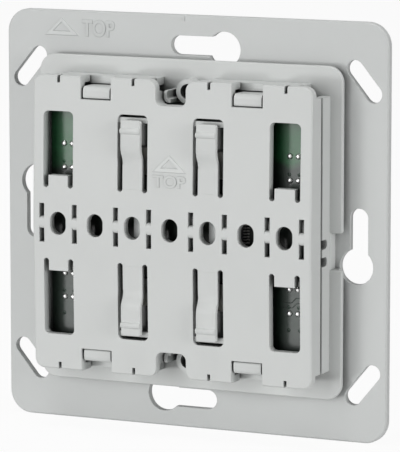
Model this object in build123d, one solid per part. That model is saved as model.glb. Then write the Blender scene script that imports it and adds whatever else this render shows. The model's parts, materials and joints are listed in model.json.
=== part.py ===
from build123d import *
from math import atan2, cos, degrees, pi, radians
import os

# Double push-button insert for a wall box, without its rockers and frame.
# Millimetres, +X to the right, +Z up, the wall at +Y. The origin is the centre of the plate's wall face.
# A depth is a distance from the wall face towards the room, so a point at depth d has y = -d.

# Support plate
fixing_pitch = 60.7
plate_margin = 5.15
plate_thickness = 1.3
plate_corner_radius = 4.0
plate_edge_chamfer = 0.25
opening_margin = 6.15
plate_opening_radius = 3.0
keyhole_count = 4
keyhole_slot_width = 3.3
keyhole_slot_reach = 2.65
keyhole_head_diameter = 6.06
keyhole_head_reach = 5.6
keyhole_head_inset = 0.44
corner_slot_width = 3.0
corner_slot_spacing = 5.3
corner_slot_side_inset = 4.35
corner_slot_end_inset = 9.9

# Base housing
tray_back = 0.2
tray_clearance = 0.2
tray_wall = 1.2
floor_thickness = 1.0
flange_overlap = 3.95
flange_rise = 2.2
flange_corner_radius = 2.8
flange_lip = 0.8
flange_lip_chamfer = 0.15
flange_undercut = 1.0
flange_undercut_radius = 5.0
flange_cut_length = 6.2
flange_cut_depth = 2.05
flange_cut_offset = 2.9
flange_cut_radius = 0.4
rail_rise = 3.1
rail_wall = 1.5
rail_end_inset = 2.1
rail_step = 0.15
end_wall = 1.3
end_wall_inset = 3.3
end_step = 0.2
rail_notch_width = 1.55
rail_notch_depth = 2.0
rail_notch_spacing = 2.95
snap_length = 6.0
snap_spacing = 24.0
snap_reach = 0.6
snap_thickness = 0.45
snap_clearance = 0.1
rest_width = 3.0
rest_spacing = 16.0
hook_width = 5.0
hook_arm = 1.5
hook_nose_radius = 0.45
hook_back_radius = 0.8
hook_gap = 0.1
hook_recess = 0.3
boss_diameter = 4.2
boss_hole_diameter = 2.6
boss_hole_depth = 2.6
boss_x = 0.85
boss_rise = 2.3
collar_wall = 0.6
collar_play = 0.3
collar_rise = 4.5
collar_corner_radius = 0.5
cradle_wall = 1.0
cradle_rise = 2.8
cradle_clearance = 0.25
cradle_gap = 14.0

# Cover
skirt_gap = 0.4
cover_side_inset = 2.35
cover_end_inset = 2.85
cover_rise = 4.2
cover_wall = 1.6
cover_skirt = 1.2
cover_corner_radius = 1.7
cover_edge_chamfer = 0.25
roof_drop = 0.6
column_margin = 4.8
hole_width = 3.0
hole_height = 3.95
pivot_offset = 3.1
pivot_slit_width = 0.95
pivot_slit_length = 2.26
pivot_bar = 2.14
pivot_bar_radius = 0.7
opening_width = 5.6
opening_inner_end = 6.1
opening_end_inset = 6.1
opening_radius = 0.9
slit_end_chamfer = 0.3
finger_width = 3.65
stub_length = 2.1
stop_bar_width = 0.9
stop_bar_gap = 0.5
stop_bar_thickness = 0.8
stop_bar_clearance = 0.12
latch_notch_width = 5.7
latch_notch_depth = 3.9
catch_reach = 0.6
catch_root = 1.2
catch_thickness = 1.0
catch_lap = 0.3
centre_notch_width = 5.6
centre_notch_depth = 4.35
centre_notch_radius = 1.2
centre_notch_mouth = 1.6
notch_skirt_reach = 2.3
notch_skirt_wall = 0.9
notch_skirt_lift = 0.8
notch_skirt_radius = 0.5
middle_gap = 9.0
edge_slot_width = 0.55
edge_slot_length = 1.25
post_width = 2.0
post_offset = 0.8

# Spring tongues
tongue_root_offset = 0.5
tongue_root_gap = 0.06
tongue_thickness = 0.85
tongue_end_gap = 0.85
tongue_end_chamfer = 0.3
tongue_raise = 1.0
head_length = 4.35
bend_length = 3.4
hump_inset = 1.8
hump_radius = 0.5
hump_lift = 0.45
pip_width = 1.8
pip_length = 1.4
pip_drop = 0.25
hinge_offset = 0.4
press_angle = 2.9

# Circuit board and what is soldered to it
board_thickness = 1.6
board_clearance = 0.25
board_corner_chamfer = 0.8
switch_offset = 0.6
pad_diameter = 1.0
pad_sides = 8
pad_rise = 0.15
pad_pitch_x = 1.5
pad_pitch_z = 4.1
led_width = 0.8
led_length = 1.6
led_rise = 0.6
guide_width = 1.9
guide_length = 4.4
guide_rise = 1.4
guide_corner_chamfer = 0.4
guide_pocket_clearance = 0.15
chip_width = 3.0
chip_length = 4.0
chip_rise = 0.95
chip_standoff = 0.1
chip_gap = 0.1
chip_span = 4.9
pin_width = 0.22
pin_pitch = 0.5
pin_thickness = 0.15
pins_per_side = 8
crystal_width = 3.2
crystal_length = 2.5
crystal_rise = 0.8
crystal_chamfer = 0.3

# Tactile switches
case_width = 4.6
well_sides = 8
case_rise = 1.5
case_floor = 0.3
well_diameter = 3.6
top_plate_thickness = 0.2
top_plate_hole = 1.9
stem_diameter = 1.76
stem_foot_diameter = 2.8
stem_foot_rise = 0.45
stem_foot_gap = 0.03
press_gap = 0.05
dome_diameter = 3.4
dome_flat_diameter = 1.4
dome_thickness = 0.08
dome_gap = 0.03
leg_width = 0.6
leg_thickness = 0.15
leg_reach = 0.7
leg_rise = 0.6
leg_spacing = 3.0

# Coin cell and its contacts
cell_diameter = 20.0
cell_thickness = 3.2
cell_step = 0.6
cell_step_inset = 1.2
contact_room = 1.0
strip_thickness = 0.2
strip_width = 3.0
contact_gap = 0.03
clip_gap = 0.06
clip_foot = 2.5
clip_drop = 3.0
spring_foot = 2.0
spring_run = 4.0
spring_tip = 1.5

# Depths of the stacked faces
flange_front = plate_thickness + flange_rise
rail_front = flange_front + rail_rise
floor_front = tray_back + floor_thickness
cell_front = floor_front + cell_thickness
board_back = cell_front + contact_room
board_front = board_back + board_thickness
skirt_back = rail_front + skirt_gap
ridge_front = skirt_back + cover_rise
lip_back = flange_front - flange_lip
boss_front = flange_front + boss_rise
collar_front = flange_front + collar_rise
notch_skirt_back = board_front + notch_skirt_lift

# Sizes that follow from the pitch of the fixings
plate_width = fixing_pitch + 2 * plate_margin
plate_opening = fixing_pitch - 2 * opening_margin
tray_width = plate_opening - 2 * tray_clearance
flange_width = plate_opening + 2 * flange_overlap
cover_width = flange_width - 2 * cover_side_inset
cover_height = flange_width - 2 * cover_end_inset
column_pitch = (cover_width - 2 * column_margin) / 6
rail_length = cover_height - 2 * rail_end_inset
end_wall_length = cover_width - 2 * end_wall_inset
roof_slope = roof_drop / (cover_height / 2)

# Shared places, outwards from the middle
tray_inner = tray_width / 2 - tray_wall
rail_outer = cover_width / 2 + rail_step
rail_inner = rail_outer - rail_wall
end_outer = cover_height / 2 - end_step
end_inner = end_outer - end_wall
boss_z = end_outer - boss_diameter / 2
latch_notch_floor = cover_height / 2 - latch_notch_depth
centre_notch_floor = cover_height / 2 - centre_notch_depth
board_width = 2 * (rail_inner - board_clearance)
board_height = 2 * (latch_notch_floor - board_clearance)

# Shared places along a tongue
opening_outer_end = cover_height / 2 - opening_end_inset
slit_width = (opening_width - finger_width) / 2
stub_end = opening_inner_end + stub_length
tongue_root = opening_inner_end + tongue_root_offset
tongue_end = opening_outer_end - tongue_end_gap
hump_z = tongue_end - hump_inset
bend_end = tongue_end - head_length
bend_start = bend_end - bend_length
switch_z = bend_start + switch_offset
post_z = switch_z + post_offset
hinge_z = tongue_root + hinge_offset
pip_end = switch_z + pip_length / 2

# Columns
chip_x = column_pitch + guide_width / 2 + chip_gap + chip_span / 2
inner_columns = (-column_pitch, column_pitch)
outer_columns = (-3 * column_pitch, 3 * column_pitch)
latch_columns = (-2 * column_pitch, 2 * column_pitch)
both_ways = (-1, 1)


def roof(z):
    """Depth of the cover's sloping front at a height z."""
    return ridge_front - roof_slope * abs(z)


def slab(outline, back, front):
    """A front-view outline (x, z) made solid between two depths."""
    plane = Plane(origin=(0, -back, 0), x_dir=(1, 0, 0), z_dir=(0, -1, 0))
    return extrude(plane * outline, amount=front - back)


def across(outline, left, right):
    """A side-view outline (z, depth) made solid from left to right."""
    plane = Plane(origin=(left, 0, 0), x_dir=(0, 0, 1), z_dir=(1, 0, 0))
    return extrude(plane * outline, amount=right - left)


def upright(outline, low, high):
    """A top-view outline (x, depth) made solid from a low to a high z."""
    plane = Plane(origin=(0, 0, high), x_dir=(1, 0, 0), z_dir=(0, 0, -1))
    return extrude(plane * outline, amount=high - low)


def span(left, right, low, high):
    """A rectangle given by its four sides."""
    return Pos((left + right) / 2, (low + high) / 2) * Rectangle(right - left, high - low)


def closed(*points):
    """A face inside a closed run of straight lines."""
    return make_face(Polyline(*points, close=True))


def turned(solid):
    """The same form half a turn further round the facing axis."""
    return solid.rotate(Axis.Y, 180)


def upside_down(solid):
    """The same form mirrored from the upper to the lower half."""
    return mirror(solid, about=Plane.XY)


def keyhole():
    """Slot above the plate's centre with the round end to the right, set inwards."""
    middle = fixing_pitch / 2
    half = keyhole_slot_width / 2
    slot = span(-keyhole_slot_reach, keyhole_head_reach, middle - half, middle + half)
    slot += Pos(-keyhole_slot_reach, middle) * Circle(half)
    slot += Pos(keyhole_head_reach, middle - keyhole_head_inset) * Circle(keyhole_head_diameter / 2)
    return slot


def snap_places():
    """Middles of the snap tabs along each side of the tray."""
    return [(side, up * snap_spacing / 2) for side in both_ways for up in both_ways]


def make_support_plate():
    body = slab(RectangleRounded(plate_width, plate_width, plate_corner_radius), 0, plate_thickness)
    front_rim = body.faces().sort_by(Axis.Y)[0].edges()
    body = chamfer(front_rim, plate_edge_chamfer)
    slot_x = plate_width / 2 - corner_slot_side_inset
    slot_z = plate_width / 2 - corner_slot_end_inset
    cuts = RectangleRounded(plate_opening, plate_opening, plate_opening_radius)
    for place in PolarLocations(0, keyhole_count):
        cuts += place * keyhole()
    for side in both_ways:
        for up in both_ways:
            turn = degrees(atan2(up * slot_z, side * slot_x)) - 90
            slot = SlotCenterToCenter(corner_slot_spacing, corner_slot_width, rotation=turn)
            cuts += Pos(side * slot_x, up * slot_z) * slot
    body -= slab(cuts, -plate_thickness, 2 * plate_thickness)
    seat_front = tray_back + snap_thickness + snap_clearance
    seat_length = snap_length + 2 * snap_clearance
    seat_reach = plate_opening / 2 + snap_reach + snap_clearance
    for side, height in snap_places():
        seat = Pos(side * seat_reach / 2, height) * Rectangle(seat_reach, seat_length)
        body -= slab(seat, -plate_thickness, seat_front)
    return body


def flange_block():
    """Flange with an overhanging lip all round and a screw clearance on each side."""
    half = flange_width / 2
    cut = Pos(half, -flange_cut_offset) * Rectangle(2 * flange_cut_depth, flange_cut_length)
    mouths = cut + Rot(0, 0, 180) * cut
    outline = RectangleRounded(flange_width, flange_width, flange_corner_radius) - mouths
    edge_corners = outline.vertices().filter_by(lambda v: abs(v.Y) < flange_cut_length + flange_cut_offset)
    edge_corners = edge_corners.filter_by(lambda v: abs(v.X) > half - flange_cut_radius)
    outline = fillet(edge_corners, flange_cut_radius)
    lip = slab(outline, lip_back, flange_front)
    rim = lip.faces().sort_by(Axis.Y)[0].edges()
    lip = chamfer(rim, flange_lip_chamfer)
    foot_width = flange_width - 2 * flange_undercut
    foot = RectangleRounded(foot_width, foot_width, flange_undercut_radius) - mouths
    return lip + slab(foot, plate_thickness, lip_back)


def hook():
    """Latch arm of the upper edge, with its nose turned towards the centre."""
    nose_front = roof(latch_notch_floor) - hook_recess
    nose_back = catch_front() + hook_gap
    nose_tip = latch_notch_floor + hook_gap
    arm_inner = latch_notch_floor + catch_reach + hook_gap
    arm_outer = arm_inner + hook_arm
    outline = closed(
        (arm_inner, tray_back),
        (arm_outer, tray_back),
        (arm_outer, nose_front),
        (nose_tip, nose_front),
        (nose_tip, nose_back),
        (arm_inner, nose_back),
    )
    back_corner = outline.vertices().sort_by_distance((arm_outer, nose_front))[0]
    outline = fillet(back_corner, hook_back_radius)
    nose_corner = outline.vertices().sort_by_distance((nose_tip, nose_front))[0]
    outline = fillet(nose_corner, hook_nose_radius)
    return across(outline, -hook_width / 2, hook_width / 2)


def catch_front():
    """Depth of the cover's ledge that a latch nose holds."""
    return roof(latch_notch_floor) - cover_wall + catch_lap


def make_base_housing():
    body = slab(RectangleRounded(tray_width, tray_width, plate_opening_radius), tray_back, flange_front)
    body += flange_block()
    for side in both_ways:
        rail = Pos(side * (rail_inner + rail_wall / 2), 0) * Rectangle(rail_wall, rail_length)
        wall = Rectangle(end_wall_length, end_wall) - Rectangle(middle_gap, end_wall)
        wall = Pos(0, side * (end_inner + end_wall / 2)) * wall
        body += slab(rail + wall, flange_front, rail_front)
    cavity = RectangleRounded(2 * tray_inner, 2 * tray_inner, plate_opening_radius)
    body -= slab(cavity, floor_front, rail_front)
    # U-shaped notches in the rails, two on each side
    for up in both_ways:
        depth_end = rail_front - rail_notch_depth
        height = -flange_cut_offset + up * rail_notch_spacing / 2
        half = rail_notch_width / 2
        notch = span(height - half, height + half, depth_end + half, rail_front + half)
        notch += Pos(height, depth_end + half) * Circle(half)
        cut = across(notch, rail_inner - rail_wall, rail_outer + rail_wall)
        body -= cut
        body -= turned(cut)
    # Snap tabs behind the plate
    for side, height in snap_places():
        reach = plate_opening / 2 + snap_reach
        inner = tray_inner + tray_wall / 2
        tab = Pos(side * (inner + reach) / 2, height) * Rectangle(reach - inner, snap_length)
        body += slab(tab, tray_back, tray_back + snap_thickness)
    # Rests for the circuit board along the side rails
    for side in both_ways:
        for step in (-1, 0, 1):
            rest_middle = side * (tray_inner + rail_inner) / 2
            rest = Pos(rest_middle, step * rest_spacing) * Rectangle(rail_inner - tray_inner, rest_width)
            body += slab(rest, flange_front, board_back)
    # Cradle wall above and below the coin cell, open at the sides where the clip stands
    bore = cell_diameter / 2 + cradle_clearance
    ring = Circle(bore + cradle_wall) - Circle(bore)
    ring -= Rectangle(cell_diameter * 2, cradle_gap)
    body += slab(ring, floor_front, floor_front + cradle_rise)
    # Latch hooks, centre bosses and their collars on both edges
    boss_outline = Pos(boss_x, boss_z) * Circle(boss_diameter / 2)
    boss = slab(boss_outline, plate_thickness, boss_front)
    boss += slab(boss_outline & Rectangle(tray_width, tray_width), tray_back, plate_thickness)
    collar_outline = notch_band(-collar_play, -collar_play - collar_wall)
    collar_outline &= span(-cover_width, boss_x - boss_diameter / 2, 0, cover_height)
    collar = slab(collar_outline, floor_front, collar_front)
    collar_end = collar.edges().filter_by(Axis.X).group_by(Axis.Z)[-1]
    collar = fillet(collar_end.group_by(Axis.Y)[0], collar_corner_radius)
    hole_outline = Pos(boss_x, boss_z) * Circle(boss_hole_diameter / 2)
    hole = slab(hole_outline, boss_front - boss_hole_depth, boss_front)
    hooks = [Pos(column, 0, 0) * hook() for column in latch_columns]
    body += boss
    body += collar
    body += upside_down(boss)
    body += upside_down(collar)
    for arm in hooks:
        body += arm
        body += upside_down(arm)
    body -= hole
    body -= upside_down(hole)
    return body


def roof_outline(half_height, lowered):
    """Side view of the roof-shaped cover, or of its cavity lowered by the wall."""
    edge = roof(half_height) - lowered
    return closed(
        (-half_height, skirt_back),
        (-half_height, edge),
        (0, ridge_front - lowered),
        (half_height, edge),
        (half_height, skirt_back),
    )


def finger_opening(finger_end):
    """Opening above the centre round a finger that stands between two slits."""
    half = opening_width / 2
    outline = RectangleRounded(opening_width, opening_outer_end - finger_end, opening_radius)
    outline = Pos(0, (opening_outer_end + finger_end) / 2) * outline
    slit_end = finger_end + 2 * opening_radius
    for side in both_ways:
        slit_x = side * (half - slit_width / 2)
        slit = span(slit_x - slit_width / 2, slit_x + slit_width / 2, opening_inner_end, slit_end)
        outline += chamfer(slit.vertices().group_by(Axis.Y)[0], slit_end_chamfer)
    return outline


def centre_notch():
    """Notch in the middle of the upper edge, with a rounded floor and a rounded mouth."""
    half = centre_notch_width / 2
    edge = cover_height / 2
    wide = half + 2 * centre_notch_mouth
    far = edge + centre_notch_mouth
    outline = span(-half, half, centre_notch_floor, far) + span(-wide, wide, edge, far)
    outline = fillet(outline.vertices().group_by(Axis.Y)[0], centre_notch_radius)
    mouth_corners = outline.vertices().group_by(Axis.Y)[-2].sort_by(Axis.X)[1:3]
    return fillet(mouth_corners, centre_notch_mouth)


def notch_cup(grown):
    """Lower part of the centre notch, made wider all round by a distance."""
    half = centre_notch_width / 2 + grown
    outline = span(-half, half, centre_notch_floor - grown, centre_notch_floor + notch_skirt_reach)
    return fillet(outline.vertices().group_by(Axis.Y)[0], centre_notch_radius + grown)


def notch_band(outer, inner):
    """U-shaped wall between two distances from the centre notch's outline."""
    return notch_cup(outer) - notch_cup(inner)


def upper_cuts():
    """Openings of the cover's upper half."""
    edge = cover_height / 2
    cuts = centre_notch()
    for column in inner_columns:
        cuts += Pos(column, 0) * finger_opening(tongue_root)
    for column in outer_columns:
        cuts += Pos(column, 0) * finger_opening(stub_end)
    for column in latch_columns:
        half = latch_notch_width / 2
        cuts += span(column - half, column + half, latch_notch_floor, edge + cover_skirt)
    for column in inner_columns + outer_columns:
        for side in both_ways:
            slit_middle = (pivot_bar + pivot_slit_length) / 2
            slit = Rectangle(pivot_slit_width, pivot_slit_length)
            cuts += Pos(column + side * pivot_offset, slit_middle) * slit
    return cuts


def edge_slots():
    """Short slots in the cover's upper edge."""
    slots = Sketch()
    edge = cover_height / 2
    half = edge_slot_width / 2
    for column in inner_columns + outer_columns:
        slots += span(column - half, column + half, edge - edge_slot_length, edge + cover_skirt)
    return slots


def make_cover():
    half_width = cover_width / 2
    half_height = cover_height / 2
    outline = RectangleRounded(cover_width, cover_height, cover_corner_radius)
    body = across(roof_outline(half_height, 0), -half_width, half_width)
    body &= slab(outline, skirt_back, ridge_front)
    rim = [e for f in body.faces().sort_by(Axis.Y)[0:2] for e in f.edges() if abs(e.center().Z) > 0.01]
    body = chamfer(ShapeList(rim), cover_edge_chamfer)
    inner = half_width - cover_skirt
    body -= across(roof_outline(half_height - cover_skirt, cover_wall), -inner, inner)
    holes = Sketch()
    for step in range(-3, 4):
        holes += Pos(step * column_pitch, 0) * SlotOverall(hole_height, hole_width, rotation=90)
    body -= slab(holes, skirt_back, ridge_front)
    # The skirt stands only above the rails and the end walls, and leaves the rest open behind the front
    wall_back = roof(half_height) - cover_wall
    corner = span(end_wall_length / 2, cover_width, rail_length / 2, cover_height)
    gaps = corner + mirror(corner, about=Plane.YZ)
    gaps += span(-middle_gap / 2, middle_gap / 2, rail_length / 2, cover_height)
    cuts = slab(upper_cuts(), skirt_back, ridge_front)
    cuts += slab(gaps, skirt_back, wall_back)
    cuts += slab(edge_slots(), wall_back, ridge_front)
    body -= cuts
    body -= upside_down(cuts)
    # Rounded bars between the slits of each pair
    bar_edges = body.edges().filter_by(Axis.X).filter_by_position(Axis.Z, -pivot_bar, pivot_bar)
    body = fillet(bar_edges.group_by(Axis.Y)[1], pivot_bar_radius)
    # Walls that run back from the floors of the centre notches
    notch_wall = slab(notch_band(notch_skirt_wall, 0), notch_skirt_back, wall_back + cover_wall / 2)
    wall_ends = notch_wall.edges().filter_by(Axis.X).group_by(Axis.Z)[-1]
    notch_wall = fillet(wall_ends.group_by(Axis.Y)[-1], notch_skirt_radius)
    body += notch_wall
    body += upside_down(notch_wall)
    # Ledges for the latch noses, stop bars for the tongues and posts on the board
    ledge_front = catch_front()
    ledge_half = latch_notch_width / 2
    bar_end = opening_outer_end - stop_bar_gap
    bar_front = tongue_lowest() - stop_bar_clearance
    for column in latch_columns:
        ledge_outline = span(
            column - ledge_half,
            column + ledge_half,
            latch_notch_floor - catch_root,
            latch_notch_floor + catch_reach,
        )
        ledge = slab(ledge_outline, ledge_front - catch_thickness, ledge_front)
        post_outline = Pos(column, post_z) * Rectangle(post_width, post_width)
        post = slab(post_outline, board_front, roof(post_z) - cover_wall / 2)
        for piece in (ledge, post):
            body += piece
            body += upside_down(piece)
    for column in inner_columns:
        half = opening_width / 2 + slit_width / 2
        bar_outline = span(column - half, column + half, bar_end - stop_bar_width, bar_end)
        bar = slab(bar_outline, bar_front - stop_bar_thickness, bar_front)
        body += bar
        body += upside_down(bar)
    return body


def tongue_lowest():
    """Depth that the underside of a pressed tongue reaches at its end."""
    end_drop = (tongue_end - hinge_z) * radians(press_angle)
    return roof(tongue_end) + tongue_raise - tongue_thickness - end_drop


def tongue_edge(lowered):
    """Long edge of a tongue in side view, from its root over the double bend to its end."""
    root = tongue_root + tongue_root_gap
    middle = (bend_start + bend_end) / 2
    start = (bend_start, roof(bend_start) - lowered)
    halfway = (middle, roof(middle) + tongue_raise / 2 - lowered)
    end = (bend_end, roof(bend_end) + tongue_raise - lowered)
    foot = Line((root, roof(root) - lowered), start)
    low_bend = TangentArc(start, halfway, tangent=foot % 1)
    high_bend = TangentArc(halfway, end, tangent=low_bend % 1)
    head = Line(end, (tongue_end, roof(tongue_end) + tongue_raise - lowered))
    return [foot, low_bend, high_bend, head]


def make_tongue():
    """Tongue of the upper half on the middle column, raised at its free end."""
    top = tongue_edge(0)
    under = tongue_edge(tongue_thickness)
    root_side = Line(top[0] @ 0, under[0] @ 0)
    end_side = Line(top[-1] @ 1, under[-1] @ 1)
    outline = make_face(Wire(top + under + [root_side, end_side]))
    outline += Pos(hump_z, roof(hump_z) + tongue_raise + hump_lift - hump_radius) * Circle(hump_radius)
    pip_low = roof(switch_z) - tongue_thickness - pip_drop
    pip = span(switch_z - pip_length / 2, pip_end, pip_low, pip_low + tongue_thickness)
    half = finger_width / 2
    body = across(outline, -half, half)
    plan = span(-half, half, tongue_root, tongue_end)
    end_corners = plan.vertices().sort_by(Axis.Y)[2:4]
    plan = chamfer(end_corners, tongue_end_chamfer)
    body &= slab(plan, skirt_back, ridge_front + 2 * tongue_raise)
    body += across(pip, -pip_width / 2, pip_width / 2)
    return body


def make_board():
    """Board with a bay at each end for a centre boss and its collar."""
    outline = Rectangle(board_width, board_height)
    outline = chamfer(outline.vertices(), board_corner_chamfer)
    bay_width = 2 * (boss_x + boss_diameter / 2 + board_clearance)
    bay_height = boss_diameter + 2 * board_clearance
    for up in both_ways:
        outline -= Pos(0, up * boss_z) * Rectangle(bay_width, bay_height)
    return slab(outline, board_back, board_front)


def make_solder_pads():
    """Tinned pads of the unused switch places under the outer windows."""
    pads = []
    for column in outer_columns:
        for up in both_ways:
            for left in both_ways:
                for low in both_ways:
                    x = column + left * pad_pitch_x / 2
                    z = up * switch_z + low * pad_pitch_z / 2
                    outline = Pos(x, z) * RegularPolygon(pad_diameter / 2, pad_sides)
                    pads.append(slab(outline, board_front, board_front + pad_rise))
    return Compound(children=pads)


def plunger_front():
    """Depth of a plunger's free end, just short of the pip of its tongue."""
    return roof(switch_z) - tongue_thickness - pip_drop - press_gap


def make_switch_case():
    base = slab(Rectangle(case_width, case_width), board_front, board_front + case_rise)
    well_outline = RegularPolygon(well_diameter / 2, well_sides)
    well = slab(well_outline, board_front + case_floor, board_front + case_rise)
    return base - well


def make_switch_plate():
    outline = Rectangle(case_width, case_width)
    outline -= RegularPolygon(top_plate_hole / 2, well_sides, major_radius=False)
    return slab(outline, board_front + case_rise, board_front + case_rise + top_plate_thickness)


def make_switch_plunger():
    foot_front = board_front + case_rise - stem_foot_gap
    foot_back = foot_front - stem_foot_rise
    foot = slab(RegularPolygon(stem_foot_diameter / 2, well_sides), foot_back, foot_front)
    return foot + slab(Circle(stem_diameter / 2), foot_back, plunger_front())


def stump(low_radius, low, high_radius, high):
    """A many-sided cone stump between two depths."""
    flat_share = cos(pi / well_sides)
    wide = low_radius * flat_share
    narrow = high_radius * flat_share
    profile = closed((-wide, low), (wide, low), (narrow, high), (-narrow, high))
    ridge = upright(profile, -low_radius, low_radius)
    full_turn = 360
    body = ridge.rotate(Axis.Y, full_turn / well_sides / 2)
    for step in range(1, well_sides // 2):
        body &= ridge.rotate(Axis.Y, full_turn / well_sides * (step + 1 / 2))
    return body


def make_switch_dome():
    """Shallow contact dome that lies in the well of the case."""
    rim = board_front + case_floor
    crown = board_front + case_rise - stem_foot_gap - stem_foot_rise - dome_gap
    radius = dome_diameter / 2
    flat = dome_flat_diameter / 2
    inside = stump(radius - dome_thickness, rim, flat - dome_thickness, crown - dome_thickness)
    return stump(radius, rim, flat, crown) - inside


def make_switch_legs():
    """Four bent terminals on the left and right of a case."""
    legs = []
    wall = case_width / 2
    for side in both_ways:
        for up in both_ways:
            riser = span(wall, wall + leg_thickness, board_front, board_front + leg_rise)
            foot = span(wall, wall + leg_reach, board_front, board_front + leg_thickness)
            z = up * leg_spacing / 2
            leg = upright(riser + foot, z - leg_width / 2, z + leg_width / 2)
            legs.append(leg if side > 0 else mirror(leg, about=Plane.YZ))
    return Compound(children=legs)


def make_led():
    return slab(Rectangle(led_width, led_length), board_front, board_front + led_rise)


def make_light_guide():
    outline = Rectangle(guide_width, guide_length)
    outline = chamfer(outline.vertices(), guide_corner_chamfer)
    body = slab(outline, board_front, board_front + guide_rise)
    room = 2 * guide_pocket_clearance
    pocket = Rectangle(led_width + room, led_length + room)
    return body - slab(pocket, board_front, board_front + led_rise + guide_pocket_clearance)


def make_chip():
    back = board_front + chip_standoff
    return slab(Pos(chip_x, 0) * Rectangle(chip_width, chip_length), back, back + chip_rise)


def make_chip_pins():
    """Gull-wing pins along both long sides of the chip."""
    pins = []
    shoulder = board_front + chip_standoff + chip_rise / 2
    wall = chip_width / 2
    middle = (wall + chip_span / 2) / 2
    half = pin_thickness / 2
    outline = span(wall, middle + half, shoulder - half, shoulder + half)
    outline += span(middle - half, middle + half, board_front, shoulder + half)
    outline += span(middle - half, chip_span / 2, board_front, board_front + pin_thickness)
    first = -(pins_per_side - 1) * pin_pitch / 2
    for step in range(pins_per_side):
        z = first + step * pin_pitch
        pin = upright(outline, z - pin_width / 2, z + pin_width / 2)
        pins.append(Pos(chip_x, 0, 0) * pin)
        pins.append(Pos(chip_x, 0, 0) * mirror(pin, about=Plane.YZ))
    return Compound(children=pins)


def make_crystal():
    outline = Rectangle(crystal_width, crystal_length)
    outline = chamfer(outline.vertices(), crystal_chamfer)
    crystal_z = (post_z + chip_length / 2) / 2
    return slab(Pos(2 * column_pitch, -crystal_z) * outline, board_front, board_front + crystal_rise)


def make_coin_cell():
    body = slab(Circle(cell_diameter / 2), floor_front, cell_front - cell_step)
    body += slab(Circle(cell_diameter / 2 - cell_step_inset), floor_front, cell_front)
    return body


def make_cell_clip():
    """Bent strip from the board's back down the side of the cell."""
    wall = cell_diameter / 2 + clip_gap
    riser = span(wall, wall + strip_thickness, board_back - clip_drop, board_back)
    foot = span(wall, wall + clip_foot, board_back - strip_thickness, board_back)
    return upright(riser + foot, -strip_width / 2, strip_width / 2)


def make_cell_spring():
    """Leaf spring from the board's back to the face of the cell."""
    touch = cell_front + contact_gap
    top = board_back - strip_thickness
    foot = span(-spring_foot, 0, top, board_back)
    leaf = closed(
        (0, board_back),
        (-strip_thickness, top),
        (spring_run, touch),
        (spring_run + spring_tip, touch),
        (spring_run + spring_tip, touch + strip_thickness),
        (spring_run + strip_thickness, touch + strip_thickness),
    )
    return upright(foot + leaf, -strip_width / 2, strip_width / 2)


def quarters():
    """Name and mirrored place of each of the four push places."""
    for upper, vertical in ((True, "upper"), (False, "lower")):
        for column, side in zip(inner_columns, ("left", "right")):
            yield f"{vertical}_{side}", column, upper


def placed(solid, column, upper, height=0.0):
    """A form of the middle column set on its own column and half."""
    lifted = Pos(column, 0, height) * solid
    return lifted if upper else upside_down(lifted)


def save(name, solid):
    export_step(solid, os.path.join("parts", name + ".step"))


os.makedirs("parts", exist_ok=True)
save("support_plate", make_support_plate())
save("base_housing", make_base_housing())
save("cover", make_cover())
save("circuit_board", make_board())
save("solder_pads", make_solder_pads())
save("controller_chip", make_chip())
save("controller_pins", make_chip_pins())
save("crystal", make_crystal())
save("coin_cell", make_coin_cell())
save("cell_clip", make_cell_clip())
save("cell_spring", make_cell_spring())
for light_column, light_side in zip(inner_columns, ("left", "right")):
    save(f"light_guide_{light_side}", Pos(light_column, 0, 0) * make_light_guide())
    save(f"led_{light_side}", Pos(light_column, 0, 0) * make_led())
for place, push_column, is_upper in quarters():
    save(f"spring_tongue_{place}", placed(make_tongue(), push_column, is_upper))
    save(f"switch_case_{place}", placed(make_switch_case(), push_column, is_upper, switch_z))
    save(f"switch_legs_{place}", placed(make_switch_legs(), push_column, is_upper, switch_z))
    save(f"switch_dome_{place}", placed(make_switch_dome(), push_column, is_upper, switch_z))
    save(f"switch_plate_{place}", placed(make_switch_plate(), push_column, is_upper, switch_z))
    save(f"switch_plunger_{place}", placed(make_switch_plunger(), push_column, is_upper, switch_z))
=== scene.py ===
import json
import math

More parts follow.
